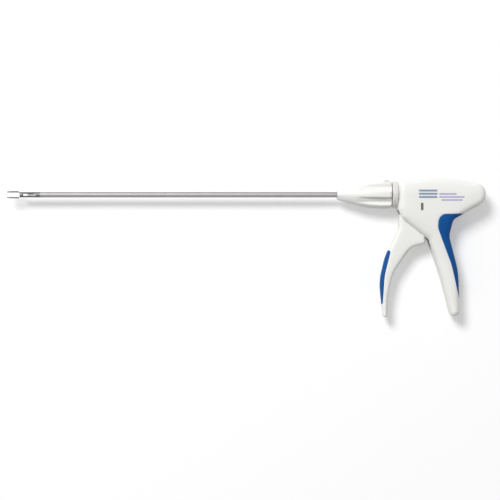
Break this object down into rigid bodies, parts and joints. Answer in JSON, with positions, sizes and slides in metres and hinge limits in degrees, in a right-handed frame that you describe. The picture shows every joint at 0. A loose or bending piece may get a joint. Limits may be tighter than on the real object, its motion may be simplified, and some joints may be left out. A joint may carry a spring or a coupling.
{
  "type": "endoscopic clip applier",
  "caption": "Pistol-grip endoscopic clip applier: squeezing the trigger closes the jaws on a long shaft that turns with its knob.",
  "frame": {"origin": "on the shaft's axis, in the plane of the rotation knob's nose", "axes": "+X along the shaft from the jaws to the butt of the handle, +Y out of the top edge of the handle, +Z away from the surface that the instrument lies on"},
  "size_m": [0.4797, 0.1401, 0.03],
  "materials": {
    "shell": "satin moulded plastic",
    "shell_ring": "satin moulded plastic",
    "blue_rubber": "soft moulded grip",
    "grey_plastic": "moulded",
    "dark_rubber": "matt",
    "steel": "machined",
    "brushed_steel": "drawn tube, brushed lengthwise",
    "dark_steel": "darkened stainless steel",
    "titanium": "drawn titanium wire",
    "counter_wheel": "moulded",
    "window": "clear plastic"
  },
  "bodies": {
    "housing": {"housing_right": "shell", "housing_left": "shell", "grip_cover_right": "blue_rubber", "grip_cover_left": "blue_rubber", "front_bearing": "shell_ring", "pivot_pin": "steel", "pawl_pin": "steel", "counter_axle": "steel", "counter_window": "window", "return_spring": "steel"},
    "trigger": {"trigger_lever": "shell", "trigger_facing": "blue_rubber", "drive_fork": "steel", "closure_pin": "steel", "feed_pins": "steel", "ratchet_rack": "steel"},
    "ratchet_pawl": {"ratchet_pawl": "steel"},
    "counter_wheel": {"counter_wheel": "counter_wheel"},
    "closure_coupler": {"closure_coupler": "grey_plastic"},
    "feed_coupler": {"feed_coupler": "grey_plastic"},
    "shaft": {"knob": "shell", "knob_spindle": "grey_plastic", "nose_seal": "dark_rubber", "outer_tube": "brushed_steel", "distal_sleeve": "dark_steel", "clip_track": "steel", "jaw_retainer": "steel"},
    "closure_rod": {"closure_rod": "steel", "rod_head": "steel", "closure_cam": "steel"},
    "feed_bar": {"feed_bar": "steel", "feed_collar": "steel"},
    "clip_stack": {"clips": "titanium", "feeder_shoe": "grey_plastic"},
    "upper_jaw": {"upper_jaw": "dark_steel"},
    "lower_jaw": {"lower_jaw": "dark_steel"}
  },
  "joints": [
    {"name": "trigger_squeeze", "type": "hinge", "parent": "housing", "child": "trigger", "pos_m": [0.0814, -0.0273, 0], "axis": [0, 0, 1], "range_deg": [0, 34], "stiffness_Nm_per_rad": 0.3, "springref_deg": -8.59},
    {"name": "closure_slide", "type": "slide", "parent": "housing", "child": "closure_coupler", "axis": [-1, 0, 0], "range_m": [0, 0.0071], "deforming": ["return_spring"]},
    {"name": "feed_slide", "type": "slide", "parent": "housing", "child": "feed_coupler", "axis": [-1, 0, 0], "range_m": [0, 0.0142]},
    {"name": "pawl_tip", "type": "hinge", "parent": "housing", "child": "ratchet_pawl", "pos_m": [0.0992, -0.0134, 0], "axis": [0, 0, 1], "range_deg": [-12, 0], "stiffness_Nm_per_rad": 0.002},
    {"name": "counter_turn", "type": "hinge", "parent": "housing", "child": "counter_wheel", "pos_m": [0.092, -0.0123, 0], "axis": [0, 0, 1], "range_deg": [0, 300]},
    {"name": "shaft_turn", "type": "hinge", "parent": "housing", "child": "shaft", "pos_m": [0, 0, 0], "axis": [1, 0, 0], "continuous": true},
    {"name": "rod_slide", "type": "slide", "parent": "shaft", "child": "closure_rod", "axis": [-1, 0, 0], "range_m": [0, 0.0071]},
    {"name": "bar_slide", "type": "slide", "parent": "shaft", "child": "feed_bar", "axis": [-1, 0, 0], "range_m": [0, 0.0142]},
    {"name": "stack_slide", "type": "slide", "parent": "shaft", "child": "clip_stack", "axis": [-1, 0, 0], "range_m": [0, 0.008]},
    {"name": "upper_jaw_close", "type": "hinge", "parent": "shaft", "child": "upper_jaw", "pos_m": [-0.298, 0.0012, 0], "axis": [0, 0, 1], "range_deg": [0, 3.35]},
    {"name": "lower_jaw_close", "type": "hinge", "parent": "shaft", "child": "lower_jaw", "pos_m": [-0.298, -0.0012, 0], "axis": [0, 0, -1], "range_deg": [0, 3.35]}
  ],
  "couplings": [
    {"joint": "closure_slide", "follows": "trigger_squeeze", "m_per_rad": 0.01183},
    {"joint": "feed_slide", "follows": "trigger_squeeze", "m_per_rad": 0.02366},
    {"joint": "rod_slide", "follows": "trigger_squeeze", "m_per_rad": 0.01183},
    {"joint": "bar_slide", "follows": "trigger_squeeze", "m_per_rad": 0.02366},
    {"joint": "upper_jaw_close", "follows": "trigger_squeeze", "ratio": 0.09706},
    {"joint": "lower_jaw_close", "follows": "trigger_squeeze", "ratio": 0.09706}
  ]
}
